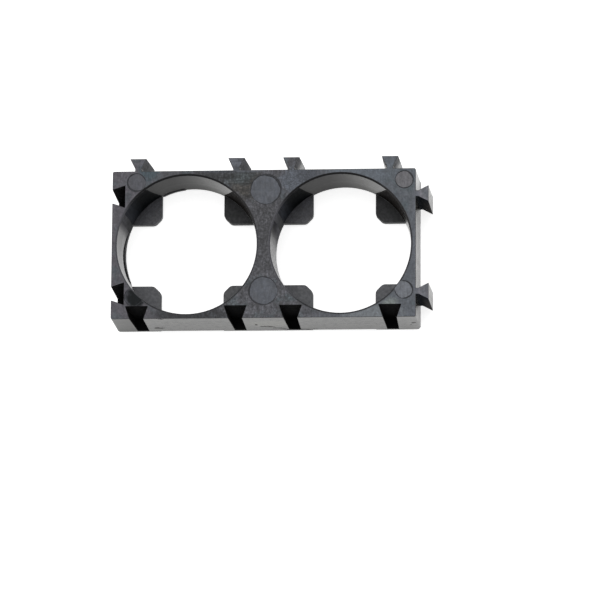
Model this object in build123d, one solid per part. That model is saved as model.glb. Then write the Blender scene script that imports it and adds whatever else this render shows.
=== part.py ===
from build123d import *
from math import radians, tan
import os

# Holder bracket for two 18650 cells: one moulding that dovetails to its neighbours.
# The rear face, which carries the stop tabs, lies on Z = 0, and the cells enter from +Z.
# The outer walls thicken towards the rear, so the part leaves the mould by its front.

# ---- Driving sizes: millimetres and degrees ----

# Cells, and the bores that hold them
cell_count = 2
cell_diameter = 18.15  # an 18650 cell in its sleeve
cell_clearance = 0.05  # in the seat, on the diameter
seat_length = 3.5  # straight stretch of the bore, in front of the tabs
lead_in = 0.15  # how far the wall leans out from the seat to the front rim
rim_chamfer = 0.18
cell_web = 1.75  # wall left between two rims, also from one bracket to the next

# Block
joint_gap = 0.05  # play between one bracket and the next, side by side
depth = 8.5  # rear face to front face
draft = 1.4  # lean of the outer walls, and of the bores level with the tabs
corner_radius = 0.45  # upright corners of the block, at the rear

# Stop tabs, and the cross of nickel strip that lies between them
tab_thickness = 1.1
tab_chamfer = 0.95
tab_round = 0.8
strip_width = 8.0
strip_clearance = 0.34
strip_recess = 0.30  # strip channel across the rear face

# Dovetail tongues, widths measured at the front face
joint_offset = 6.5  # from a cell's axis to the tongue on either side of it
joint_draft = 1.0  # lean of the flanks, of tongues and sockets alike
tongue_neck = 0.84
tongue_tip = 2.20
tongue_reach = 1.67
tongue_land = 0.34  # straight part of the neck, before the flare
tongue_root = 0.30  # how far the neck runs on into the wall

# Dovetail sockets: what they leave free round a neighbour's tongue, at the rear, where it is tightest
mouth_clearance = 0.36
floor_clearance = 0.12
reach_clearance = 0.04
socket_stop = 0.50  # wall that closes the rear of a socket
stop_clearance = 0.10  # from that wall to the rear end of a neighbour's tongue

# Ejector pin marks in the front face: four small ones near the corners, two large on the web
pin_diameter = 2.45
web_pin_diameter = 3.85
pin_mark_depth = 0.06
pin_top_left = (3.0, 1.68)  # distance in from the side, and down or up from the long edge
pin_top_right = (1.5, 1.5)
pin_bottom_right = (1.55, 3.6)
pin_bottom_left = (2.94, 2.95)
web_pin_top = 2.6
web_pin_bottom = 3.6

# ---- Sizes that follow ----

lean = tan(radians(draft))
joint_lean = tan(radians(joint_draft))
seat_radius = (cell_diameter + cell_clearance) / 2
rim_radius = seat_radius + lead_in
cell_pitch = 2 * rim_radius + cell_web
length = cell_count * cell_pitch - joint_gap
width = cell_pitch - joint_gap
front_length = length - 2 * depth * lean
front_width = width - 2 * depth * lean
window = strip_width + strip_clearance
tongue_start = socket_stop + stop_clearance
overhang = tongue_reach - tongue_start * lean
socket_depth = tongue_reach - joint_gap + reach_clearance
cell_centres = [(i - (cell_count - 1) / 2) * cell_pitch for i in range(cell_count)]
joint_sides = (-joint_offset, joint_offset)

UPRIGHT = (Align.CENTER, Align.CENTER, Align.MIN)


# ---- Block ----

holder = extrude(RectangleRounded(length, width, corner_radius), amount=depth, taper=draft)


# ---- Cell bores, with four stop tabs left standing at the rear of each ----
# Level with the tabs the wall opens towards the rear, because the core there draws that way.

tab_side = seat_radius - window / 2
tab_square = Rectangle(tab_side, tab_side, align=(Align.MIN, Align.MIN))
tab_corner = tab_square.vertices().sort_by_distance((0, 0, 0))[0]
tab_outline = chamfer(tab_corner, tab_chamfer)
tab_outline = fillet(tab_outline.vertices().sort_by_distance((0, 0, 0))[:2], tab_round)
tab = Pos(window / 2, window / 2) * extrude(tab_outline, amount=tab_thickness)
tabs = [Rot(0, 0, 90 * turn) * tab for turn in range(4)]
bore_section = Plane.XZ * make_face(
    Polyline(
        (0, 0),
        (seat_radius + tab_thickness * lean, 0),
        (seat_radius, tab_thickness),
        (seat_radius, tab_thickness + seat_length),
        (rim_radius, depth - rim_chamfer),
        (rim_radius + rim_chamfer, depth),
        (0, depth),
        close=True,
    )
)
cell_cutter = revolve(bore_section, Axis.Z) - tabs
holder -= [Pos(x, 0, 0) * cell_cutter for x in cell_centres]


# ---- Strip channels: one along the row, one across behind each cell ----

channel_along = Box(length + tongue_reach, window, strip_recess, align=UPRIGHT)
channel_across = Box(window, width + tongue_reach, strip_recess, align=UPRIGHT)
holder -= [channel_along] + [Pos(x, 0, 0) * channel_across for x in cell_centres]


# ---- Dovetails: drafted outlines, lofted from the rear to the front ----
# A tongue stops short of the rear face, so that it passes over the wall that closes a socket.

def dovetail(neck, tip, reach, land, root):
    """Outline with its neck across the Y axis and its tip towards +Y."""
    right = [(neck / 2, -root), (neck / 2, land), (tip / 2, reach)]
    left = [(-x, y) for x, y in reversed(right)]
    return make_face(Polyline(right + left, close=True))


def tongue_growth(z):
    """How much wider a tongue is at this height than at the front face."""
    return 2 * (depth - z) * joint_lean


def tongue_outline(z):
    """A tongue grows towards the rear, and its root follows the leaning wall."""
    neck = tongue_neck + tongue_growth(z)
    tip = tongue_tip + tongue_growth(z)
    return Pos(0, -z * lean, z) * dovetail(neck, tip, tongue_reach, tongue_land, tongue_root)


def socket_outline(z):
    """A socket closes in towards the rear, where it still clears the wide end of a tongue."""
    widening = tongue_growth(tongue_start) + 2 * (z - tongue_start) * joint_lean
    mouth = tongue_neck + mouth_clearance + widening
    floor = tongue_tip + floor_clearance + widening
    return Pos(0, z * lean, z) * dovetail(mouth, floor, socket_depth, 0, joint_gap)


tongue = loft([tongue_outline(tongue_start), tongue_outline(depth)], ruled=True)
socket = loft([socket_outline(socket_stop), socket_outline(depth)], ruled=True)

upper_joints = [Pos(x + side, width / 2, 0) for x in cell_centres for side in joint_sides]
lower_joints = [Pos(x + side, -width / 2, 0) for x in cell_centres for side in joint_sides]
right_joints = [Pos(length / 2, side, 0) * Rot(0, 0, -90) for side in joint_sides]
left_joints = [Pos(-length / 2, side, 0) * Rot(0, 0, -90) for side in joint_sides]

holder += [place * tongue for place in upper_joints + right_joints]
holder -= [place * socket for place in lower_joints + left_joints]


# ---- Ejector marks in the front face ----

corner_pins = [
    (pin_top_left[0] - front_length / 2, front_width / 2 - pin_top_left[1]),
    (front_length / 2 - pin_top_right[0], front_width / 2 - pin_top_right[1]),
    (front_length / 2 - pin_bottom_right[0], pin_bottom_right[1] - front_width / 2),
    (pin_bottom_left[0] - front_length / 2, pin_bottom_left[1] - front_width / 2),
]
web_pins = [(0, front_width / 2 - web_pin_top), (0, web_pin_bottom - front_width / 2)]
small_mark = Cylinder(pin_diameter / 2, 2 * pin_mark_depth)
large_mark = Cylinder(web_pin_diameter / 2, 2 * pin_mark_depth)
holder -= [Pos(x, y, depth) * small_mark for x, y in corner_pins]
holder -= [Pos(x, y, depth) * large_mark for x, y in web_pins]


# ---- Own frame: centre of the footprint, tongues included, on the rear face ----

holder = Pos(-overhang / 2, -overhang / 2, 0) * holder

os.makedirs("parts", exist_ok=True)
export_step(holder, "parts/holder_frame.step")
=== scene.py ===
"""Holder bracket for two 18650 cells: the moulding with its finishes, on a pale studio table."""
from math import acos, radians

import bmesh
import bpy
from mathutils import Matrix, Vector


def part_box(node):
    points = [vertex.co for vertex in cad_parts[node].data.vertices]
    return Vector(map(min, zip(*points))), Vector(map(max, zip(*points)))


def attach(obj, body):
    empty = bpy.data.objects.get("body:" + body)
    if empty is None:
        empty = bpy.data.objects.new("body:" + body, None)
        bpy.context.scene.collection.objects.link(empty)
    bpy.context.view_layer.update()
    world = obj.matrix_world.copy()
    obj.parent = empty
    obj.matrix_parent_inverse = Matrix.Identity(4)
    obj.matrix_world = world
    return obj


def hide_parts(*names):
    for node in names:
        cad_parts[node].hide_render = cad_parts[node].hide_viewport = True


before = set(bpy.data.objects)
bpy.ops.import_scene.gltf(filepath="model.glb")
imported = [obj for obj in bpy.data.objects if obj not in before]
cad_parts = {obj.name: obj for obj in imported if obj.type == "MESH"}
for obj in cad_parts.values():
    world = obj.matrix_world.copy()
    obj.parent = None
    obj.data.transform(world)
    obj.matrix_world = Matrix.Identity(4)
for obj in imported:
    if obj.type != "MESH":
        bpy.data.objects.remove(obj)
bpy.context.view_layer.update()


# ---------------------------------------------------------------------------------------
# The moulding. One injection-moulded piece of black ABS. Its form is the frame's own node,
# copied, and given the small radius that a cut steel mould leaves on every outer edge. Each
# face gets the finish of the mould part that made it, and some finishes carry painted light
# and shade: inside the bores, on the upper right tabs and in the sockets.
# ---------------------------------------------------------------------------------------

MM = 0.001

# The finishes, numbered as their materials stand on the mesh
(
    FRONT, PIN_MARK, OUTER_WALL, TONGUE_FLANK, SOCKET, BORE_WALL, BORE_PAINTED_SHADE,
    BORE_SHADE_FADE, BORE_RIM, TAB_FACE, TAB_PAINTED_SHADE, REAR, EDGE,
) = range(13)

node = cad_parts["holder_frame"]
node_low, node_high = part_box("holder_frame")

# Sizes that the finishes need, as on the moulding
front_height = node_high.z
cell_pitch = 20.25 * MM
joint_gap = 0.05 * MM
strip_recess = 0.30 * MM
tab_thickness = 1.10 * MM
half_window = 4.17 * MM
seat_radius = 9.10 * MM
pin_radius = 1.225 * MM
web_pin_radius = 1.925 * MM
pin_mark_depth = 0.06 * MM
block_high = node_low.xy + Vector((2 * cell_pitch - joint_gap, cell_pitch - joint_gap))
block_middle = (node_low.xy + block_high) / 2
bore_axes = [block_middle + Vector((side * cell_pitch / 2, 0)) for side in (-1, 1)]

# Limits that tell one mould part's faces from the next
bore_reach = 9.46 * MM
tab_reach = 0.98 * seat_radius
in_channel = 0.6 * strip_recess
mark_foot = front_height - 1.1 * pin_mark_depth
mark_reach = 0.01 * MM
chamfer_foot = 0.95 * front_height
joint_zone = 0.26 * MM
corner_reach = 0.6 * MM
shade_slant = (0.18, 0.25)
shade_fade_start = 3.1 * MM
squarely = 0.9
slanted = 0.5
upright = 0.1
looks_down = 0.3

edge_radius = 0.06 * MM
sharp_angle = radians(24)
same_slope = 0.01
same_point = 1e-7
corner_pin_growth = 1.04
web_pin_growth = 1.07


def from_nearest_axis(point):
    """The way to a point from the axis of the bore that it is nearest to, seen from the front."""
    return min((point.xy - axis for axis in bore_axes), key=lambda away: away.length)


def bore_finish_of(face, from_axis):
    """Inside a bore: rim, stop tabs, and a wall with painted shade over the upper tabs and down the left.
    """
    if slanted < face.normal.z < squarely:
        return BORE_RIM
    height = face.calc_center_median().z
    if face.normal.z > squarely or (height < tab_thickness and from_axis.length < tab_reach):
        return TAB_PAINTED_SHADE if min(from_axis) > 0 else TAB_FACE
    above_tab = height - tab_thickness
    left_end, right_end = (half_window + slant * above_tab for slant in shade_slant)
    over_tab = from_axis.x < -left_end or from_axis.x > right_end
    if from_axis.y > half_window:
        return BORE_PAINTED_SHADE if over_tab else BORE_WALL
    return BORE_SHADE_FADE if from_axis.x < 0 and from_axis.y > shade_fade_start else BORE_WALL


def finish_of(face):
    """The mould part that made this face, told by where the face lies and which way it looks."""
    middle = face.calc_center_median()
    if face.normal.z < -squarely or middle.z < in_channel:
        return REAR
    if face.normal.z > squarely and middle.z > front_height - pin_mark_depth / 2:
        return FRONT
    if middle.z > mark_foot and (face.normal.z > squarely or abs(face.normal.z) < upright):
        return PIN_MARK
    from_axis = from_nearest_axis(middle)
    if from_axis.length < bore_reach:
        return bore_finish_of(face, from_axis)
    from_left, from_below = middle.xy - node_low.xy
    from_right, from_above = block_high - middle.xy
    if from_above < joint_zone and face.normal.y < squarely and min(from_left, from_right) > corner_reach:
        return TONGUE_FLANK
    # On the short side, faces under the tongues take the socket's painted shade
    if from_right < joint_zone and face.normal.x < squarely and min(from_below, from_above) > corner_reach:
        return SOCKET if face.normal.y < -looks_down else OUTER_WALL
    return SOCKET if min(from_left, from_below, from_right, from_above) > joint_zone else OUTER_WALL


def same_surface(one, other):
    """Whether the light runs on smoothly from one face to the other."""
    bends_little = one.normal.angle(other.normal, 0) < sharp_angle
    return bends_little and abs(one.normal.z - other.normal.z) < same_slope


def beside(face):
    """The finishes of the faces that share an edge with this one."""
    return {other.material_index for edge in face.edges for other in edge.link_faces if other != face}


def corner_normal(face, vertex):
    """Flat faces stay flat and round walls round. A rounded edge starts and ends with its walls."""
    walls = [other for other in vertex.link_faces if other.material_index != EDGE]
    if face.material_index != EDGE:
        walls = [other for other in walls if same_surface(face, other)]
    normal = Vector()
    for other in walls or vertex.link_faces:
        normal += other.normal * other.calc_area()
    return normal.normalized()


shape = bmesh.new()
shape.from_mesh(node.data)
bmesh.ops.remove_doubles(shape, verts=shape.verts, dist=same_point)

# Two pins sat a little off their drawn places, and their marks came out a little larger
for place, radius, shift, growth in (
    ((-17.017, 8.212), pin_radius, (0.16, 0.17), corner_pin_growth),
    ((0.0, 7.292), web_pin_radius, (0.33, -0.01), web_pin_growth),
):
    centre = block_middle + Vector(place) * MM
    for vertex in shape.verts:
        away = vertex.co.xy - centre
        if away.length < radius + mark_reach and vertex.co.z > mark_foot:
            vertex.co.xy = centre + away * growth + Vector(shift) * MM
shape.normal_update()

# The painted shade on a bore's wall ends on straight lines, so its wall is divided along them first
for axis in bore_axes:
    for offset, across in (
        ((-half_window, 0), (1, 0, shade_slant[0])),
        ((half_window, 0), (1, 0, -shade_slant[1])),
        ((0, half_window), (0, 1, 0)),
        ((0, shade_fade_start), (0, 1, 0)),
    ):
        walls = [
            face
            for face in shape.faces
            if (face.calc_center_median().xy - axis).length < bore_reach and abs(face.normal.z) < upright
        ]
        bmesh.ops.bisect_plane(
            shape,
            geom=walls + list({edge for face in walls for edge in face.edges}),
            dist=same_point,
            plane_co=(*(axis + Vector(offset)), tab_thickness),
            plane_no=across,
        )

for face in shape.faces:
    face.material_index = finish_of(face)
sharp_edges = [
    edge
    for edge in shape.edges
    if edge.calc_face_angle(0) > sharp_angle
    and not any(face.material_index == PIN_MARK for face in edge.link_faces)
]
bmesh.ops.bevel(
    shape,
    geom=sharp_edges,
    affect="EDGES",
    offset=edge_radius,
    segments=2,
    profile=0.5,
    clamp_overlap=False,
    loop_slide=False,
    material=EDGE,
)
for vertex in shape.verts:
    vertex.co = Vector(max(low, min(v, high)) for v, low, high in zip(vertex.co, node_low, node_high))
shape.normal_update()
normals = [corner_normal(face, loop.vert) for face in shape.faces for loop in face.loops]
# Bevels beside a socket take its painted shade too
for face in shape.faces:
    if face.material_index == EDGE and SOCKET in beside(face):
        face.material_index = SOCKET
mesh = bpy.data.meshes.new("moulding")
shape.to_mesh(mesh)
shape.free()
mesh.shade_smooth()
mesh.normals_split_custom_set(normals)
moulding = bpy.data.objects.new("moulding", mesh)
bpy.context.scene.collection.objects.link(moulding)


def feed(tree, socket, value):
    """Gives an input a fixed value, or the output of another node."""
    if isinstance(value, bpy.types.NodeSocket):
        tree.links.new(value, socket)
    else:
        socket.default_value = value


def number(tree, operation, *values):
    """One step of arithmetic."""
    step = tree.nodes.new("ShaderNodeMath")
    step.operation = operation
    for socket, value in zip(step.inputs, values):
        feed(tree, socket, value)
    return step.outputs["Value"]


def overlap(tree, *amounts):
    """The product of amounts between 0 and 1: high only where all of them are."""
    product = amounts[0]
    for amount in amounts[1:]:
        product = number(tree, "MULTIPLY", product, amount)
    return product


def without(tree, amount, share=1.0):
    """What is left of 1 when a share of an amount is taken away."""
    return number(tree, "MULTIPLY_ADD", amount, -share, 1.0)


def ramp(tree, value, start, end, low=0.0, high=1.0):
    """Goes smoothly from low to high while the value goes from start to end."""
    run = tree.nodes.new("ShaderNodeMapRange")
    run.interpolation_type = "SMOOTHSTEP"
    feed(tree, run.inputs["Value"], value)
    run.inputs["From Min"].default_value = start
    run.inputs["From Max"].default_value = end
    run.inputs["To Min"].default_value = low
    run.inputs["To Max"].default_value = high
    return run.outputs["Result"]


def grain(tree, in_mm, size_mm, detail=3.0, stretch=(1, 1, 1), swirl=0.0):
    """An irregular height, grains of about the given size, drawn out along the stretched axes."""
    along = tree.nodes.new("ShaderNodeMapping")
    along.inputs["Scale"].default_value = stretch
    tree.links.new(in_mm, along.inputs["Vector"])
    noise = tree.nodes.new("ShaderNodeTexNoise")
    noise.inputs["Scale"].default_value = 1 / size_mm
    noise.inputs["Detail"].default_value = detail
    noise.inputs["Distortion"].default_value = swirl
    tree.links.new(along.outputs["Vector"], noise.inputs["Vector"])
    return noise.outputs["Fac"]


def plastic(name, dark, light, mottle_mm, rough_low, rough_high):
    """Black ABS: two close tones in soft clouds, and a gloss that varies with a finer cloud."""
    material = bpy.data.materials.new(name)
    material.use_nodes = True
    tree = material.node_tree
    shader = tree.nodes["Principled BSDF"]
    shader.inputs["IOR"].default_value = 1.53
    place = tree.nodes.new("ShaderNodeTexCoord")
    scale = tree.nodes.new("ShaderNodeMapping")
    scale.inputs["Scale"].default_value = (1 / MM, 1 / MM, 1 / MM)
    tree.links.new(place.outputs["Object"], scale.inputs["Vector"])
    in_mm = scale.outputs["Vector"]

    tones = tree.nodes.new("ShaderNodeValToRGB")
    tones.color_ramp.elements[0].position = 0.36
    tones.color_ramp.elements[0].color = (*dark, 1)
    tones.color_ramp.elements[1].position = 0.66
    tones.color_ramp.elements[1].color = (*light, 1)
    tree.links.new(grain(tree, in_mm, mottle_mm, detail=6.0), tones.inputs["Fac"])
    tree.links.new(tones.outputs["Color"], shader.inputs["Base Color"])
    gloss = ramp(tree, grain(tree, in_mm, mottle_mm / 2.3), 0.3, 0.7, rough_low, rough_high)
    tree.links.new(gloss, shader.inputs["Roughness"])
    return material, tree, shader, in_mm


def relief(tree, shader, height, depth_mm):
    """Raises the finish by a height between 0 and 1, over whatever relief it already has."""
    bump = tree.nodes.new("ShaderNodeBump")
    bump.inputs["Distance"].default_value = depth_mm * MM
    tree.links.new(height, bump.inputs["Height"])
    before = shader.inputs["Normal"].links
    if before:
        tree.links.new(before[0].from_socket, bump.inputs["Normal"])
    tree.links.new(bump.outputs["Normal"], shader.inputs["Normal"])


def tint(tree, shader, amount, colour):
    """Leads the colour towards another one."""
    mix = tree.nodes.new("ShaderNodeMixRGB")
    feed(tree, mix.inputs["Fac"], amount)
    tree.links.new(shader.inputs["Base Color"].links[0].from_socket, mix.inputs["Color1"])
    mix.inputs["Color2"].default_value = (*colour, 1)
    tree.links.new(mix.outputs["Color"], shader.inputs["Base Color"])


def speckle(tree, shader, height, contrast, where=1.0):
    """Lighter and darker grains in the colour, weaker where the last amount is low."""
    sway = ramp(tree, height, 0.3, 0.7, -contrast, contrast)
    shade(tree, shader, number(tree, "MULTIPLY_ADD", sway, where, 1.0))


def shade(tree, shader, factor):
    """Makes the colour lighter or darker by a factor."""
    times = tree.nodes.new("ShaderNodeVectorMath")
    times.operation = "SCALE"
    tree.links.new(shader.inputs["Base Color"].links[0].from_socket, times.inputs["Vector"])
    tree.links.new(factor, times.inputs["Scale"])
    tree.links.new(times.outputs["Vector"], shader.inputs["Base Color"])


def roughen(tree, shader, amount, roughness):
    """Leads the roughness towards another one."""
    before = shader.inputs["Roughness"].links[0].from_socket
    change = number(tree, "MULTIPLY", number(tree, "SUBTRACT", roughness, before), amount)
    tree.links.new(number(tree, "ADD", before, change), shader.inputs["Roughness"])


def patch(tree, in_mm, centre_mm, reach_mm, squash=(1, 1, 0)):
    """A ragged spot: 1 in its middle, fading to 0 at its reach."""
    away = tree.nodes.new("ShaderNodeVectorMath")
    away.operation = "SUBTRACT"
    tree.links.new(in_mm, away.inputs[0])
    away.inputs[1].default_value = centre_mm
    squashed = tree.nodes.new("ShaderNodeVectorMath")
    squashed.operation = "MULTIPLY"
    tree.links.new(away.outputs["Vector"], squashed.inputs[0])
    squashed.inputs[1].default_value = squash
    distance = tree.nodes.new("ShaderNodeVectorMath")
    distance.operation = "LENGTH"
    tree.links.new(squashed.outputs["Vector"], distance.inputs[0])
    ragged = number(tree, "MULTIPLY_ADD", grain(tree, in_mm, 0.55), reach_mm, -reach_mm / 2)
    return ramp(tree, number(tree, "ADD", distance.outputs["Value"], ragged), reach_mm, 0.4 * reach_mm)


def apart(tree, in_mm):
    """The three coordinates, in mm."""
    split = tree.nodes.new("ShaderNodeSeparateXYZ")
    tree.links.new(in_mm, split.inputs["Vector"])
    return split.outputs


def from_bore_axis(tree, in_mm):
    """How far right of, and above, the nearest bore's axis a point lies, in mm."""
    x, y, _ = apart(tree, in_mm)
    pitch = cell_pitch / MM
    from_middle = number(tree, "SUBTRACT", x, block_middle.x / MM)
    across = number(tree, "SUBTRACT", number(tree, "WRAP", from_middle, pitch, 0.0), pitch / 2)
    return across, number(tree, "SUBTRACT", y, block_middle.y / MM)


def at_second_tongue(tree, in_mm):
    """1 round the second tongue of the long side, counted from the left."""
    x, _, _ = apart(tree, in_mm)
    return overlap(tree, ramp(tree, x, -0.5, -1.5), ramp(tree, x, -9.5, -8.5))


def spark_eroded_front():
    """Front face: the mould is spark-eroded here, which leaves a fine matt grain. The melt left
    streaks across the webs and duller patches where it met itself or was touched since."""
    material, tree, shader, in_mm = plastic(
        "front_spark_eroded", (0.042, 0.042, 0.049), (0.070, 0.071, 0.083), 1.5, 0.54, 0.68
    )
    x, y, _ = apart(tree, in_mm)
    tint(tree, shader, ramp(tree, x, 2.0, 14.0, 0.0, 0.60), (0.084, 0.100, 0.120))
    tint(tree, shader, ramp(tree, x, -12.0, -19.0, 0.0, 0.60), (0.080, 0.072, 0.088))
    tint(tree, shader, ramp(tree, x, 18.6, 19.6, 0.0, 0.80), (0.118, 0.122, 0.148))
    tint(tree, shader, ramp(tree, x, 19.3, 19.8, 0.0, 0.60), (0.160, 0.156, 0.176))
    clouds = ramp(tree, grain(tree, in_mm, 1.6), 0.50, 0.66, 0.0, 0.45)
    tint(tree, shader, clouds, (0.040, 0.062, 0.070))
    for centre_mm, reach_mm, squash, colour, roughness in (
        ((3.2, 7.4, 0), 2.6, (1, 1, 0), (0.062, 0.072, 0.092), 0.58),
        ((5.0, 8.4, 0), 1.6, (0.7, 1, 0), (0.044, 0.050, 0.064), 0.62),
        ((12.0, 9.0, 0), 3.0, (0.5, 1, 0), (0.084, 0.100, 0.122), 0.58),
        ((13.4, -10.4, 0), 2.0, (0.4, 1, 0), (0.124, 0.138, 0.152), 0.55),
        ((15.8, -9.3, 0), 1.5, (1, 1, 0), (0.150, 0.172, 0.168), 0.56),
        ((-16.0, 9.0, 0), 1.9, (1, 1, 0), (0.034, 0.054, 0.068), 0.62),
        ((-0.8, 0.6, 0), 4.2, (1, 0.7, 0), (0.050, 0.050, 0.056), 0.68),
        ((-3.4, 7.4, 0), 3.2, (1, 1, 0), (0.037, 0.034, 0.031), 0.72),
        ((-4.2, 8.4, 0), 1.8, (0.6, 1, 0), (0.038, 0.045, 0.048), 0.70),
        ((-7.0, 8.9, 0), 2.0, (0.6, 1, 0), (0.024, 0.025, 0.027), 0.75),
        ((-10.4, -10.4, 0), 1.8, (0.3, 1, 0), (0.024, 0.025, 0.028), 0.75),
        ((-17.6, -7.9, 0), 1.8, (1.1, 1, 0), (0.002, 0.004, 0.005), 0.95),
    ):
        spot = patch(tree, in_mm, centre_mm, reach_mm, squash)
        tint(tree, shader, spot, colour)
        roughen(tree, shader, spot, roughness)
    smooth_tongue = overlap(tree, at_second_tongue(tree, in_mm), ramp(tree, y, 8.5, 9.1))
    tint(tree, shader, smooth_tongue, (0.074, 0.080, 0.096))
    wavy = patch(tree, in_mm, (4.2, 7.4, 0), 3.4)
    coarser = overlap(tree, ramp(tree, x, 10.0, 2.0, 0.40, 1.0), ramp(tree, x, -13.0, -6.0, 0.5, 1.0))
    coarser = overlap(tree, coarser, without(tree, smooth_tongue, 0.7), without(tree, wavy, 0.55))
    streaks = grain(tree, in_mm, 0.50, detail=4.0, stretch=(1, 0.3, 1), swirl=1.8)
    speckle(tree, shader, grain(tree, in_mm, 0.34), 0.40, coarser)
    speckle(tree, shader, grain(tree, in_mm, 0.20), 0.34, coarser)
    speckle(tree, shader, streaks, 0.40, coarser)
    flow = grain(tree, in_mm, 0.42, detail=3.0, stretch=(0.16, 1, 1), swirl=0.6)
    speckle(tree, shader, flow, 0.55, patch(tree, in_mm, (-4.6, 7.6, 0), 5.0, (0.7, 1, 0)))
    waves = grain(tree, in_mm, 0.62, detail=1.5, stretch=(1, 1.5, 1), swirl=3.0)
    speckle(tree, shader, waves, 0.42, wavy)
    relief(tree, shader, grain(tree, in_mm, 0.35), 0.018)
    relief(tree, shader, grain(tree, in_mm, 0.15), 0.008)
    return material


def ground_pin_end():
    """Ejector marks: the pins' ends are ground, so these discs are smoother than the face. The two
    on the right are paler, and the one at the lower left is smudged."""
    material, tree, shader, in_mm = plastic(
        "pin_mark_ground", (0.044, 0.050, 0.064), (0.066, 0.074, 0.094), 1.0, 0.48, 0.58
    )
    x, y, _ = apart(tree, in_mm)
    right_side = ramp(tree, x, 12.0, 16.0)
    upper_right = overlap(tree, right_side, ramp(tree, y, 5.0, 6.0))
    lower_right = overlap(tree, right_side, ramp(tree, y, -4.0, -5.0))
    tint(tree, shader, upper_right, (0.096, 0.094, 0.104))
    tint(tree, shader, lower_right, (0.114, 0.124, 0.144))
    tint(tree, shader, ramp(tree, x, -12.0, -17.0, 0.0, 0.6), (0.040, 0.038, 0.048))
    smudge = patch(tree, in_mm, (-17.6, -7.9, 0), 1.9, (1.1, 1, 0))
    tint(tree, shader, smudge, (0.002, 0.004, 0.005))
    roughen(tree, shader, smudge, 0.95)
    ground = grain(tree, in_mm, 0.30, stretch=(1, 0.25, 1), swirl=0.5)
    speckle(tree, shader, ground, 0.20)
    speckle(tree, shader, grain(tree, in_mm, 0.22), 0.14)
    relief(tree, shader, ground, 0.005)
    return material


def drawn_outer_wall():
    """Outer walls and tongue tips: polished mould, with faint lines where the part drew off. The
    wall is paler round the gate and duller at the left end. It is best polished at the upper
    right, down to a dull line along its rear."""
    material, tree, shader, in_mm = plastic(
        "outer_wall_drawn", (0.036, 0.036, 0.033), (0.056, 0.056, 0.051), 1.8, 0.14, 0.24
    )
    x, y, z = apart(tree, in_mm)
    drawn = grain(tree, in_mm, 0.25, stretch=(1, 1, 0.1))
    speckle(tree, shader, drawn, 0.18)
    gate_scar = patch(tree, in_mm, (-0.2, -10.9, 4.6), 2.2, (0.5, 0.2, 0.8))
    tint(tree, shader, gate_scar, (0.130, 0.130, 0.108))
    roughen(tree, shader, ramp(tree, x, -17.6, -18.6), 0.36)
    best = overlap(tree, ramp(tree, x, 18.8, 19.1), ramp(tree, y, 6.2, 7.0))
    roughen(tree, shader, best, 0.03)
    roughen(tree, shader, overlap(tree, best, ramp(tree, z, 1.7, 1.1)), 0.60)
    relief(tree, shader, drawn, 0.003)
    relief(tree, shader, grain(tree, in_mm, 0.9), 0.004)
    return material


def dull_flank():
    """Flanks of the long side's tongues: as grainy as the front, apart from the second tongue's,
    and glossier on the two tongues to the right, towards their rear."""
    material, tree, shader, in_mm = plastic(
        "tongue_flank_dull", (0.090, 0.094, 0.106), (0.140, 0.145, 0.160), 0.9, 0.60, 0.72
    )
    x, _, z = apart(tree, in_mm)
    grainy = without(tree, at_second_tongue(tree, in_mm), 0.7)
    speckle(tree, shader, grain(tree, in_mm, 0.18), 0.35, grainy)
    roughen(tree, shader, overlap(tree, ramp(tree, x, -2.0, 2.0), ramp(tree, z, 7.5, 3.0)), 0.20)
    relief(tree, shader, grain(tree, in_mm, 0.2), 0.008)
    return material


def deep_socket():
    """Sockets, and the lower flanks of the short side's tongues: rough, nearly black and barely glossy,
    painted shade for these narrow hollows.
    """
    material, tree, shader, in_mm = plastic(
        "socket_matt_painted_shade", (0.003, 0.003, 0.004), (0.007, 0.007, 0.007), 1.5, 0.80, 0.90
    )
    shader.inputs["Specular IOR Level"].default_value = 0.05
    x, _, z = apart(tree, in_mm)
    # Painted light: lighter at the right end and towards the rear of the tongue tips, where the flank
    # catches light
    tint(tree, shader, ramp(tree, x, 18.6, 18.9), (0.010, 0.013, 0.018))
    flank_tip_painted_light = overlap(tree, ramp(tree, x, 19.5, 20.9), ramp(tree, z, 8.2, 4.0))
    tint(tree, shader, flank_tip_painted_light, (0.075, 0.070, 0.070))
    relief(tree, shader, grain(tree, in_mm, 0.2), 0.006)
    return material


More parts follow.
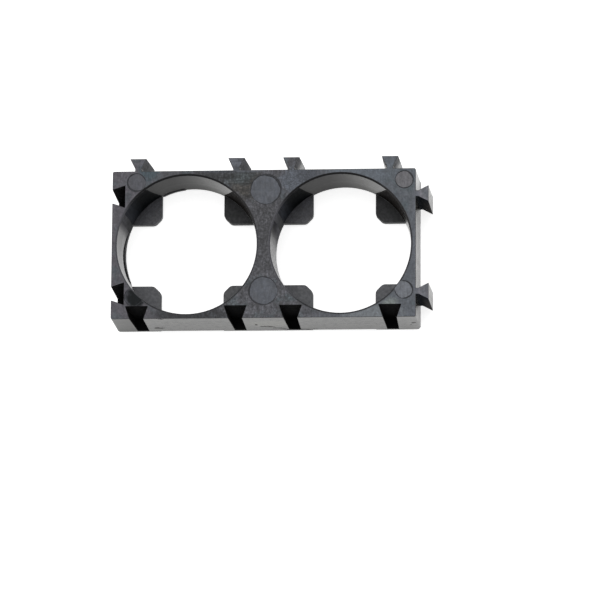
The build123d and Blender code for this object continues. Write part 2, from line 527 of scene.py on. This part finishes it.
def polished_bore():
    """Bore walls: a turned core with faint lines along the draw. Its polish fades towards the
    upper left and the rear. Low on the left it is best in the left bore and spotted in the right.
    Painted reflection makes the wall lighter and warmer towards the right, and painted light
    makes the left wall paler, low down in the left bore and further up and towards the rear in
    the right one."""
    material, tree, shader, in_mm = plastic(
        "bore_wall_polished", (0.003, 0.003, 0.003), (0.007, 0.007, 0.006), 2.2, 0.10, 0.16
    )
    across, above = from_bore_axis(tree, in_mm)
    x, _, z = apart(tree, in_mm)
    left_bore = ramp(tree, x, 0.0, -1.0)
    right_bore = number(tree, "SUBTRACT", 1.0, left_bore)
    left_wall = ramp(tree, across, -8.0, -8.6)
    low_left = overlap(tree, left_wall, ramp(tree, above, 3.0, 0.5))
    best = overlap(tree, low_left, left_bore)
    # Painted reflection: lighter and warmer towards the right
    tint(tree, shader, ramp(tree, across, -2.0, 4.0), (0.019, 0.020, 0.014))
    # Painted light: the best polished low left wall of the left bore is paler
    tint(tree, shader, best, (0.105, 0.103, 0.112))
    roughen(tree, shader, overlap(tree, ramp(tree, above, 2.0, 5.5), ramp(tree, across, 6.5, -3.0)), 0.52)
    to_rear = overlap(tree, ramp(tree, z, 6.0, 1.0, 0.0, 0.4), ramp(tree, above, 4.0, 6.0))
    roughen(tree, shader, to_rear, 0.60)
    high_left = overlap(tree, left_wall, ramp(tree, above, 1.2, 3.6))
    roughen(tree, shader, high_left, 0.62)
    tint(tree, shader, high_left, (0.010, 0.010, 0.022))
    dull_left_painted_light = overlap(tree, left_wall, overlap(tree, right_bore, ramp(tree, above, -0.5, 3.2)))
    roughen(tree, shader, dull_left_painted_light, 0.90)
    # Painted light: paler towards the rear on the dull part of the right bore's left wall
    tint(tree, shader, overlap(tree, dull_left_painted_light, ramp(tree, z, 7.0, 3.0)), (0.135, 0.135, 0.150))
    spots = ramp(tree, grain(tree, in_mm, 0.35), 0.42, 0.62)
    spotted = overlap(tree, left_wall, overlap(tree, right_bore, spots))
    roughen(tree, shader, overlap(tree, spotted, ramp(tree, above, 2.0, 0.8)), 0.28)
    # Painted light: paler low on the right bore's left wall
    tint(tree, shader, overlap(tree, low_left, right_bore), (0.090, 0.090, 0.095))
    roughen(tree, shader, best, 0.05)
    drawn = grain(tree, in_mm, 0.3, stretch=(1, 1, 0.05))
    speckle(tree, shader, drawn, 0.3)
    relief(tree, shader, drawn, 0.002)
    relief(tree, shader, grain(tree, in_mm, 0.25), 0.002)
    return material


def cut_lines(tree, shader, in_mm):
    """The tool's lines along the draw, where nothing polished them away."""
    speckle(tree, shader, grain(tree, in_mm, 0.3, stretch=(1, 1, 0.1)), 0.3)
    relief(tree, shader, grain(tree, in_mm, 0.25, stretch=(1, 1, 0.1)), 0.002)


def painted_shade_corner():
    """Bore wall over the upper tabs: nearly black and barely glossy, painted shade where the tabs shade
    the wall.
    """
    material, tree, shader, in_mm = plastic(
        "bore_corner_painted_shade", (0.003, 0.004, 0.005), (0.006, 0.007, 0.008), 1.5, 0.55, 0.65
    )
    shader.inputs["Specular IOR Level"].default_value = 0.02
    across, _ = from_bore_axis(tree, in_mm)
    # The painted shade eases off a little at both ends of its stretch
    tint(tree, shader, ramp(tree, across, 3.0, 5.0), (0.013, 0.011, 0.010))
    tint(tree, shader, ramp(tree, across, -6.4, -8.3), (0.036, 0.040, 0.050))
    cut_lines(tree, shader, in_mm)
    return material


def fading_painted_shade():
    """Left wall of each bore, up to its upper tab: dull, with painted shade that leads into the shade over
    the tab.
    """
    material, tree, shader, in_mm = plastic(
        "bore_wall_shade_fading", (0.006, 0.008, 0.011), (0.013, 0.015, 0.020), 1.0, 0.60, 0.70
    )
    shader.inputs["Specular IOR Level"].default_value = 0.2
    _, _, z = apart(tree, in_mm)
    # Painted shade: lighter towards the front, darker towards the rear
    tint(tree, shader, ramp(tree, z, 3.5, 7.5), (0.052, 0.054, 0.064))
    cut_lines(tree, shader, in_mm)
    return material


def cut_rim():
    """The chamfer round each bore: painted shade makes it black at the top and darker low down and at the
    upper right, painted light makes it pale down the left side.
    """
    material, tree, shader, in_mm = plastic(
        "bore_rim_cut", (0.034, 0.035, 0.041), (0.056, 0.057, 0.065), 1.0, 0.48, 0.58
    )
    shader.inputs["Specular IOR Level"].default_value = 0.3
    across, above = from_bore_axis(tree, in_mm)
    painted_shade_top = overlap(tree, ramp(tree, above, 4.0, 7.0), ramp(tree, across, 6.4, 4.6))
    upper_right = overlap(tree, ramp(tree, above, 0.5, 3.5), ramp(tree, across, 4.6, 6.4))
    painted_light_left = overlap(tree, ramp(tree, across, -5.0, -7.5), ramp(tree, above, 6.0, 4.0))
    # Painted shade at the top, low down and at the upper right; painted light down the left side
    tint(tree, shader, painted_shade_top, (0.003, 0.003, 0.004))
    tint(tree, shader, ramp(tree, above, -3.5, -5.0, 0.0, 0.8), (0.022, 0.023, 0.026))
    tint(tree, shader, upper_right, (0.022, 0.021, 0.022))
    tint(tree, shader, painted_light_left, (0.085, 0.085, 0.096))
    speckle(tree, shader, grain(tree, in_mm, 0.2), 0.15)
    relief(tree, shader, grain(tree, in_mm, 0.2), 0.004)
    return material


def turned_tab(name, dark, light):
    """Stop tabs: the core's end face is turned, which leaves fine rings round each cell's axis."""
    material, tree, shader, in_mm = plastic(name, dark, light, 0.8, 0.42, 0.54)
    across, above = from_bore_axis(tree, in_mm)
    squares = number(tree, "MULTIPLY_ADD", across, across, number(tree, "MULTIPLY", above, above))
    radius = tree.nodes.new("ShaderNodeCombineXYZ")
    tree.links.new(number(tree, "SQRT", squares), radius.inputs["X"])
    rings = grain(tree, radius.outputs["Vector"], 0.24, detail=2.0)
    speckle(tree, shader, rings, 0.20)
    speckle(tree, shader, grain(tree, in_mm, 0.20), 0.25)
    # Painted light: lighter towards the lower tabs, which the upper wall does not shade
    tint(tree, shader, ramp(tree, above, 0.0, -5.0, 0.0, 0.35), (0.050, 0.054, 0.062))
    x, _, _ = apart(tree, in_mm)
    lower_right = overlap(tree, ramp(tree, across, 1.0, 3.0), ramp(tree, above, -1.0, -3.0))
    darker = ramp(tree, x, -1.0, 1.0, -0.50, -0.06)
    shade(tree, shader, number(tree, "MULTIPLY_ADD", lower_right, darker, 1.0))
    relief(tree, shader, rings, 0.006)
    relief(tree, shader, grain(tree, in_mm, 0.2), 0.008)
    return material, shader


def turned_tab_face():
    """Three tabs of each bore."""
    material, _ = turned_tab("tab_face_turned", (0.028, 0.029, 0.037), (0.050, 0.052, 0.064))
    return material


def painted_shade_tab_face():
    """The upper right tab of each bore: darker and less glossy, painted shade where the bore wall shades
    it.
    """
    material, shader = turned_tab("tab_face_painted_shade", (0.008, 0.009, 0.010), (0.018, 0.018, 0.021))
    shader.inputs["Specular IOR Level"].default_value = 0.25
    return material


def flat_rear():
    """Rear face and strip channels: ground mould plate, plain and satin."""
    material, tree, shader, in_mm = plastic(
        "rear_ground", (0.024, 0.025, 0.028), (0.036, 0.037, 0.041), 2.0, 0.38, 0.50
    )
    speckle(tree, shader, grain(tree, in_mm, 0.2), 0.15)
    relief(tree, shader, grain(tree, in_mm, 0.2), 0.006)
    return material


def rubbed_edge():
    """Edges: handling has polished them, and left them a shade lighter here and there."""
    material, tree, shader, in_mm = plastic(
        "edge_rubbed", (0.012, 0.013, 0.015), (0.044, 0.046, 0.050), 0.8, 0.34, 0.48
    )
    speckle(tree, shader, grain(tree, in_mm, 0.25), 0.30)
    relief(tree, shader, grain(tree, in_mm, 0.2), 0.006)
    return material


# One material for each finish, in the order of their numbers
for finish in (
    spark_eroded_front,
    ground_pin_end,
    drawn_outer_wall,
    dull_flank,
    deep_socket,
    polished_bore,
    painted_shade_corner,
    fading_painted_shade,
    cut_rim,
    turned_tab_face,
    painted_shade_tab_face,
    flat_rear,
    rubbed_edge,
):
    mesh.materials.append(finish())

# The bevels beside a rim belong to the chamfer's cut
for polygon in mesh.polygons:
    at_bore = from_nearest_axis(polygon.center).length < bore_reach + edge_radius
    if polygon.material_index == EDGE and at_bore and polygon.center.z > chamfer_foot:
        polygon.material_index = BORE_RIM

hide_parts("holder_frame")
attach(moulding, "root")


# ---------------------------------------------------------------------------------------
# Witness lines. At each ejector mark a hair of plastic crept into the gap round the pin, and
# stands as a dark ring, wider on the side that the pin leaned away from.
# ---------------------------------------------------------------------------------------

rim_edge = 9.43 * MM
full_turn = radians(360)
bead_points = 9
least_fullness = 0.12
end_taper = 14.0
seed_step = 0.01
weld = 0.0005 * MM


def start_tree(name, inputs, result):
    """A tree of Geometry Nodes with its named inputs and the sizes that they start with."""
    tree = bpy.data.node_groups.new(name, "GeometryNodeTree")
    for label, kind, value in inputs:
        socket = tree.interface.new_socket(name=label, in_out="INPUT", socket_type="NodeSocket" + kind)
        if value is not None:
            socket.default_value = value
    tree.interface.new_socket(name=result, in_out="OUTPUT", socket_type="NodeSocketGeometry")
    return tree, tree.nodes.new("NodeGroupInput").outputs, tree.nodes.new("NodeGroupOutput").inputs


def read(tree, name, kind="FLOAT"):
    """What each point says under this name."""
    attribute = tree.nodes.new("GeometryNodeInputNamedAttribute")
    attribute.data_type = kind
    attribute.inputs["Name"].default_value = name
    return attribute.outputs["Attribute"]


def keep(tree, geometry, name, value):
    """Writes a vector on every point, to be read further on."""
    store = tree.nodes.new("GeometryNodeStoreNamedAttribute")
    store.data_type = "FLOAT_VECTOR"
    tree.links.new(geometry, store.inputs["Geometry"])
    store.inputs["Name"].default_value = name
    tree.links.new(value, store.inputs["Value"])
    return store.outputs["Geometry"]


def finish_tree(tree, geometry, plastic_input, result):
    """Ends a tree with whole geometry in its material."""
    whole = tree.nodes.new("GeometryNodeRealizeInstances")
    coated = tree.nodes.new("GeometryNodeSetMaterial")
    tree.links.new(geometry, whole.inputs["Geometry"])
    tree.links.new(whole.outputs["Geometry"], coated.inputs["Geometry"])
    tree.links.new(plastic_input, coated.inputs["Material"])
    tree.links.new(coated.outputs["Geometry"], result)


def hair_line_tree():
    """Draws a ragged bead of plastic along an arc round every point, sized by the point."""
    inputs = (
        ("Arcs", "Geometry", None),
        ("Steps", "Int", 72),
        ("Ragged", "Float", 0.5),
        ("Grain", "Float", 0.4 * MM),
        ("Seed", "Int", 1),
        ("Plastic", "Material", None),
    )
    tree, given, made = start_tree("hair_line", inputs, "Lines")

    strip = tree.nodes.new("GeometryNodeMeshGrid")
    strip.inputs["Size X"].default_value = 1.0
    strip.inputs["Size Y"].default_value = 1.0
    tree.links.new(given["Steps"], strip.inputs["Vertices X"])
    strip.inputs["Vertices Y"].default_value = bead_points
    strips = keep(tree, strip.outputs["Mesh"], "place", strip.outputs["UV Map"])
    position = tree.nodes.new("GeometryNodeInputPosition").outputs["Position"]
    middles = keep(tree, given["Arcs"], "middle", position)
    spots = tree.nodes.new("GeometryNodeInstanceOnPoints")
    tree.links.new(middles, spots.inputs["Points"])
    tree.links.new(strips, spots.inputs["Instance"])
    loose = tree.nodes.new("GeometryNodeRealizeInstances")
    tree.links.new(spots.outputs["Instances"], loose.inputs["Geometry"])

    place = tree.nodes.new("ShaderNodeSeparateXYZ")
    tree.links.new(read(tree, "place", "FLOAT_VECTOR"), place.inputs["Vector"])
    along, round_bead = place.outputs["X"], place.outputs["Y"]
    arc_start, arc_radius = read(tree, "arc_start"), read(tree, "arc_radius")
    angle = number(tree, "MULTIPLY_ADD", along, read(tree, "arc_sweep"), arc_start)
    turn = number(tree, "MULTIPLY", round_bead, full_turn)
    cosine, sine = number(tree, "COSINE", angle), number(tree, "SINE", angle)

    # How full the bead is at each place: ragged, leaning to its heavy side, and thin at its ends
    spot = tree.nodes.new("ShaderNodeCombineXYZ")
    own_seed = number(tree, "ADD", given["Seed"], arc_start)
    tree.links.new(number(tree, "MULTIPLY", cosine, arc_radius), spot.inputs["X"])
    tree.links.new(number(tree, "MULTIPLY", sine, arc_radius), spot.inputs["Y"])
    tree.links.new(number(tree, "MULTIPLY", own_seed, seed_step), spot.inputs["Z"])
    noise = tree.nodes.new("ShaderNodeTexNoise")
    tree.links.new(spot.outputs["Vector"], noise.inputs["Vector"])
    tree.links.new(number(tree, "DIVIDE", 1.0, given["Grain"]), noise.inputs["Scale"])
    noise.inputs["Detail"].default_value = 2.0
    sway = ramp(tree, noise.outputs["Fac"], 0.35, 0.65, -1.0, 1.0)
    rag = number(tree, "MULTIPLY", sway, given["Ragged"])
    lean = number(tree, "COSINE", number(tree, "SUBTRACT", angle, read(tree, "heavy_side")))
    uneven = number(tree, "MULTIPLY", number(tree, "SUBTRACT", lean, 1.0), read(tree, "lopsided"))
    fullness = number(tree, "MULTIPLY_ADD", uneven, 0.5, number(tree, "ADD", rag, 1.0))
    to_end = number(tree, "MINIMUM", along, number(tree, "SUBTRACT", 1.0, along))
    taper = number(tree, "MULTIPLY_ADD", to_end, end_taper, read(tree, "closed"))
    fullness = number(tree, "MAXIMUM", fullness, least_fullness)
    fullness = number(tree, "MULTIPLY", fullness, number(tree, "MINIMUM", taper, 1.0))

    # The bead's section is a ring of points, which stands on its foot and reaches inwards
    half_wide = number(tree, "MULTIPLY", number(tree, "MULTIPLY", read(tree, "wide"), 0.5), fullness)
    inward = number(tree, "SUBTRACT", number(tree, "COSINE", turn), 1.0)
    radius = number(tree, "MULTIPLY_ADD", half_wide, inward, arc_radius)
    upward = number(tree, "MULTIPLY_ADD", number(tree, "SINE", turn), 0.5, 0.5)
    rise = number(tree, "MULTIPLY", upward, number(tree, "MULTIPLY", read(tree, "tall"), fullness))
    bead = tree.nodes.new("ShaderNodeCombineXYZ")
    tree.links.new(number(tree, "MULTIPLY", cosine, radius), bead.inputs["X"])
    tree.links.new(number(tree, "MULTIPLY", sine, radius), bead.inputs["Y"])
    tree.links.new(rise, bead.inputs["Z"])
    put = tree.nodes.new("ShaderNodeVectorMath")
    put.operation = "ADD"
    tree.links.new(read(tree, "middle", "FLOAT_VECTOR"), put.inputs[0])
    tree.links.new(bead.outputs["Vector"], put.inputs[1])
    shaped = tree.nodes.new("GeometryNodeSetPosition")
    tree.links.new(loose.outputs["Geometry"], shaped.inputs["Geometry"])
    tree.links.new(put.outputs["Vector"], shaped.inputs["Position"])

    joined = tree.nodes.new("GeometryNodeMergeByDistance")
    joined.inputs["Distance"].default_value = weld
    tree.links.new(shaped.outputs["Geometry"], joined.inputs["Geometry"])
    finish_tree(tree, joined.outputs["Geometry"], given["Plastic"], made["Lines"])
    return tree


def grow(name, points, tree, material, **sizes):
    """Runs a tree on a cloud of points that carry their own sizes, and keeps the plain mesh."""
    cloud = bpy.data.meshes.new(name + "_points")
    cloud.from_pydata([point["at"] for point in points], [], [])
    for key in points[0]:
        if key != "at":
            kind = "FLOAT_VECTOR" if isinstance(points[0][key], Vector) else "FLOAT"
            values = cloud.attributes.new(key, kind, "POINT").data
            for value, point in zip(values, points):
                setattr(value, "vector" if kind == "FLOAT_VECTOR" else "value", point[key])
    seeds = bpy.data.objects.new(name + "_points", cloud)
    bpy.context.scene.collection.objects.link(seeds)
    grower = seeds.modifiers.new("grow", "NODES")
    grower.node_group = tree
    sizes["Plastic"] = material
    for socket in tree.interface.items_tree:
        if socket.name in sizes:
            grower[socket.identifier] = sizes[socket.name]
    grown = seeds.evaluated_get(bpy.context.evaluated_depsgraph_get())
    result = bpy.data.meshes.new_from_object(grown)
    seeds.modifiers.remove(grower)
    bpy.data.objects.remove(seeds)

    skin = bmesh.new()
    skin.from_mesh(result)
    bmesh.ops.dissolve_degenerate(skin, dist=same_point, edges=skin.edges)
    bmesh.ops.recalc_face_normals(skin, faces=skin.faces)
    skin.to_mesh(result)
    skin.free()
    result.name = name
    result.shade_smooth()
    piece = bpy.data.objects.new(name, result)
    bpy.context.scene.collection.objects.link(piece)
    return piece


def witness_black():
    """The hair of plastic round a pin: thin, rough and nearly black."""
    material, tree, shader, in_mm = plastic(
        "witness_line_black", (0.012, 0.013, 0.016), (0.032, 0.034, 0.040), 0.5, 0.50, 0.64
    )
    shader.inputs["Specular IOR Level"].default_value = 0.3
    relief(tree, shader, grain(tree, in_mm, 0.15), 0.004)
    return material


def open_arc(centre, radius):
    """The part of a pin's ring that lies on the face, where the pin reaches over a bore's rim."""
    axis = min(bore_axes, key=lambda spot: (centre - spot).length)
    away = (centre - axis).length
    if away - radius > rim_edge:
        return 0.0, full_turn, 1.0
    towards = (axis - centre).angle_signed(Vector((1, 0)))
    half = acos((away**2 + radius**2 - rim_edge**2) / (2 * away * radius))
    return towards + half, full_turn - 2 * half, 0.0


pin_play = 0.02 * MM
ring_height = 0.75 * pin_mark_depth
rings = []
for x, y, radius, heavy_side, wide, lopsided in (
    (-16.857, 8.382, corner_pin_growth * pin_radius, 190, 0.26, 0.6),
    (18.517, 8.392, pin_radius, 10, 0.20, 0.4),
    (18.467, -6.292, pin_radius, 10, 0.22, 0.4),
    (-17.077, -6.942, pin_radius, 210, 0.12, 0.5),
    (0.33, 7.282, web_pin_growth * web_pin_radius, 35, 0.30, 0.85),
    (0.0, -6.292, web_pin_radius, 200, 0.22, 0.6),
):
    centre = block_middle + Vector((x, y)) * MM
    arc_start, arc_sweep, closed = open_arc(centre, radius)
    rings.append(
        {
            "at": (*centre, front_height - pin_mark_depth),
            "arc_radius": radius + pin_play,
            "arc_start": arc_start,
            "arc_sweep": arc_sweep,
            "closed": closed,
            "heavy_side": radians(heavy_side),
            "lopsided": lopsided,
            "wide": wide * MM,
            "tall": ring_height,
        }
    )
hair_line = hair_line_tree()
witness_lines = grow(
    "witness_lines", rings, hair_line, witness_black(), Steps=97, Ragged=0.2, Grain=1.1 * MM, Seed=3
)
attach(witness_lines, "root")


# ---------------------------------------------------------------------------------------
# Drag burrs. The left bore's wall scuffed where it left the core at the rear, which rolled up
# Shade ridges. Two thin dark ridges of plastic stand on the left bore's wall at the rear, between
# the tabs: a dark thing put there as painted shade, the contact shadow at the foot of the wall.


def shade_ridge_grey():
    """Dark satin plastic for the ridges of painted shade, a little lighter than the hair lines."""
    material, tree, shader, in_mm = plastic(
        "shade_ridge_satin", (0.010, 0.011, 0.014), (0.026, 0.027, 0.032), 0.6, 0.50, 0.60
    )
    shader.inputs["Specular IOR Level"].default_value = 0.3
    relief(tree, shader, grain(tree, in_mm, 0.2), 0.004)
    return material


ridge_foot = strip_recess + 0.02 * MM
ridge_root = 0.03 * MM
ridge_heavy_side = radians(185)
shade_ridge_points = []
for start, end, tall, wide, lopsided in (
    (152.0, 207.0, 2.2, 0.20, 10.0),
    (96.0, 117.2, 1.0, 0.14, 0.0),
):
    shade_ridge_points.append(
        {
            "at": (*bore_axes[0], ridge_foot),
            "arc_radius": seat_radius + ridge_root,
            "arc_start": radians(start),
            "arc_sweep": radians(end - start),
            "closed": 0.0,
            "heavy_side": ridge_heavy_side,
            "lopsided": lopsided,
            "wide": wide * MM,
            "tall": tall * MM,
        }
    )
shade_ridges = grow(
    "shade_ridges", shade_ridge_points, hair_line, shade_ridge_grey(), Steps=97, Ragged=0.07, Grain=2.6 * MM, Seed=8
)
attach(shade_ridges, "root")


# ---------------------------------------------------------------------------------------
# Scuffs. Short dark slivers that handling and the torn gate left on the front long wall.
# They are the same plastic, rubbed dull, and lie almost flush with the wall.
# ---------------------------------------------------------------------------------------

wall_lean = 0.21 * MM
most_sway = 0.3 * MM
half_thick = 0.012


def sliver_tree():
    """Puts a flat ragged lens on every point, as long, thick and tall as the point says."""
    inputs = (
        ("Spots", "Geometry", None),
        ("Ragged", "Float", 0.3),
        ("Grain", "Float", 0.3 * MM),
        ("Plastic", "Material", None),
    )
    tree, given, made = start_tree("slivers", inputs, "Slivers")
    lens = tree.nodes.new("GeometryNodeMeshUVSphere")
    lens.inputs["Segments"].default_value = 24
    lens.inputs["Rings"].default_value = 12
    lens.inputs["Radius"].default_value = 1.0
    spots = tree.nodes.new("GeometryNodeInstanceOnPoints")
    tree.links.new(given["Spots"], spots.inputs["Points"])
    tree.links.new(lens.outputs["Mesh"], spots.inputs["Instance"])
    tree.links.new(read(tree, "turn", "FLOAT_VECTOR"), spots.inputs["Rotation"])
    tree.links.new(read(tree, "half_size", "FLOAT_VECTOR"), spots.inputs["Scale"])
    whole = tree.nodes.new("GeometryNodeRealizeInstances")
    tree.links.new(spots.outputs["Instances"], whole.inputs["Geometry"])

    noise = tree.nodes.new("ShaderNodeTexNoise")
    position = tree.nodes.new("GeometryNodeInputPosition").outputs["Position"]
    tree.links.new(position, noise.inputs["Vector"])
    tree.links.new(number(tree, "DIVIDE", 1.0, given["Grain"]), noise.inputs["Scale"])
    sway = ramp(tree, noise.outputs["Fac"], 0.3, 0.7, -1.0, 1.0)
    shift = tree.nodes.new("ShaderNodeCombineXYZ")
    reach = number(tree, "MULTIPLY", given["Ragged"], most_sway)
    tree.links.new(number(tree, "MULTIPLY", sway, reach), shift.inputs["Z"])
    shaped = tree.nodes.new("GeometryNodeSetPosition")
    tree.links.new(whole.outputs["Geometry"], shaped.inputs["Geometry"])
    tree.links.new(shift.outputs["Vector"], shaped.inputs["Offset"])
    finish_tree(tree, shaped.outputs["Geometry"], given["Plastic"], made["Slivers"])
    return tree


def scuff_black():
    """Scuffed plastic: torn and dull, darker than the wall round it."""
    material, tree, shader, in_mm = plastic(
        "scuff_dull", (0.008, 0.008, 0.008), (0.030, 0.030, 0.028), 0.3, 0.55, 0.75
    )
    shader.inputs["Specular IOR Level"].default_value = 0.2
    relief(tree, shader, grain(tree, in_mm, 0.1), 0.005)
    return material


marks = []
for x, z, long, tall, turn in (
    (-15.1, 2.3, 0.72, 0.30, 0),
    (-14.3, 8.12, 0.46, 0.16, 0),
    (-2.1, 3.9, 0.20, 0.26, 0),
    (-0.6, 2.7, 1.20, 0.18, 12),
    (0.9, 1.6, 1.00, 0.18, 10),
    (3.6, 0.75, 2.40, 0.18, 2),
    (18.7, 4.4, 0.32, 0.26, -8),
    (18.3, 3.3, 0.12, 0.18, 0),
):
    marks.append(
        {
            "at": (x * MM, node_low.y + z * MM * wall_lean / front_height, z * MM),
            "half_size": Vector((long, half_thick, tall)) * MM,
            "turn": Vector((0, radians(turn), 0)),
        }
    )
scuffs = grow("scuffs", marks, sliver_tree(), scuff_black(), Ragged=0.5)
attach(scuffs, "root")


# ---------------------------------------------------------------------------------------
# The table: a matt white surface, which the camera and the gloss see a little lighter, so
# that only the contact shadow shows on it.
# ---------------------------------------------------------------------------------------

table_size = 6.0
table_gap = 0.01 * MM
table_white = 0.80
lift_for_camera = 0.72
lift_for_gloss = 0.38

bpy.ops.mesh.primitive_plane_add(size=table_size, location=(0, 0, node_low.z - table_gap))
table = bpy.context.object
table.name = "table"
paper = bpy.data.materials.new("table_white")
paper.use_nodes = True
nodes = paper.node_tree.nodes
links = paper.node_tree.links
nodes.clear()
matt = nodes.new("ShaderNodeBsdfDiffuse")
matt.inputs["Color"].default_value = (table_white, table_white, table_white, 1)
glow = nodes.new("ShaderNodeEmission")
seen = nodes.new("ShaderNodeLightPath").outputs
lift = number(paper.node_tree, "MULTIPLY", seen["Is Camera Ray"], lift_for_camera)
lift = number(paper.node_tree, "MULTIPLY_ADD", seen["Is Glossy Ray"], lift_for_gloss, lift)
links.new(lift, glow.inputs["Strength"])
both = nodes.new("ShaderNodeAddShader")
links.new(matt.outputs["BSDF"], both.inputs[0])
links.new(glow.outputs["Emission"], both.inputs[1])
out = nodes.new("ShaderNodeOutputMaterial")
links.new(both.outputs["Shader"], out.inputs["Surface"])
table.data.materials.append(paper)


# ---------------------------------------------------------------------------------------
# Light: an even white room, and one large soft box above and behind, which the front face
# mirrors towards the camera.
# ---------------------------------------------------------------------------------------

room_light = 0.55
soft_box_size = 0.55
soft_box_power = 2.6
soft_box_place = Vector((-0.08, 0.22, 0.75))

world = bpy.data.worlds.new("room")
bpy.context.scene.world = world
world.use_nodes = True
nodes = world.node_tree.nodes
links = world.node_tree.links
background = nodes["Background"]
background.inputs["Color"].default_value = (1, 1, 1, 1)
seen = nodes.new("ShaderNodeLightPath")
strength = nodes.new("ShaderNodeMapRange")
strength.inputs["To Min"].default_value = room_light
strength.inputs["To Max"].default_value = 1.0
links.new(seen.outputs["Is Camera Ray"], strength.inputs["Value"])
links.new(strength.outputs["Result"], background.inputs["Strength"])

soft_box = bpy.data.objects.new("soft_box", bpy.data.lights.new("soft_box", "AREA"))
soft_box.data.size = soft_box_size
soft_box.data.energy = soft_box_power
soft_box.location = soft_box_place
soft_box.rotation_euler = soft_box_place.to_track_quat("Z", "Y").to_euler()
bpy.context.scene.collection.objects.link(soft_box)


# ---------------------------------------------------------------------------------------
# Camera: half a metre above the bracket, a little to the front and right of it.
# ---------------------------------------------------------------------------------------

camera_place = Vector((44.456, -96.315, 485.105)) * MM
camera_turn = (10.444, 4.783, 0.339)
sensor_mm = 36
lens_mm = 223.485

camera = bpy.data.objects.new("camera", bpy.data.cameras.new("camera"))
camera.location = camera_place
camera.rotation_euler = [radians(angle) for angle in camera_turn]
camera.data.sensor_width = sensor_mm
camera.data.lens = lens_mm
bpy.context.scene.collection.objects.link(camera)
bpy.context.scene.camera = camera

bpy.context.scene.view_settings.view_transform = "Standard"
